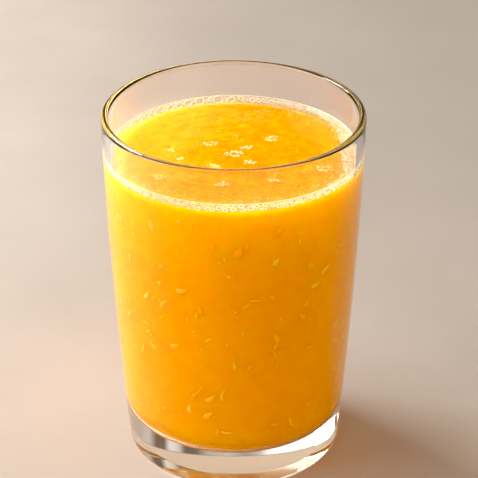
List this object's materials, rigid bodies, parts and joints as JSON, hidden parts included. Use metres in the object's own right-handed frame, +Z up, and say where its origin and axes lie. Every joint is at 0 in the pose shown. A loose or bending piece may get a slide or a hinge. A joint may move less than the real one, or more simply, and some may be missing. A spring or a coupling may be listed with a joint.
{
  "type": "glass of orange juice",
  "caption": "Thick-based clear tumbler filled with pulpy orange juice, with a ring of froth where the drink meets the wall.",
  "frame": {"origin": "middle of the tumbler's foot, on the surface that it stands on", "axes": "+Z up along the tumbler's axis; the part is round, so +X and +Y are free"},
  "size_m": [0.0792, 0.0792, 0.1136],
  "materials": {
    "clear_glass": "smooth, fire polished",
    "orange_juice": "wet, cloudy, with pale pulp",
    "juice_froth": "wet bubbles"
  },
  "bodies": {
    "root": {"glass": "clear_glass", "juice": "orange_juice", "froth_ring": "juice_froth"}
  },
  "joints": []
}
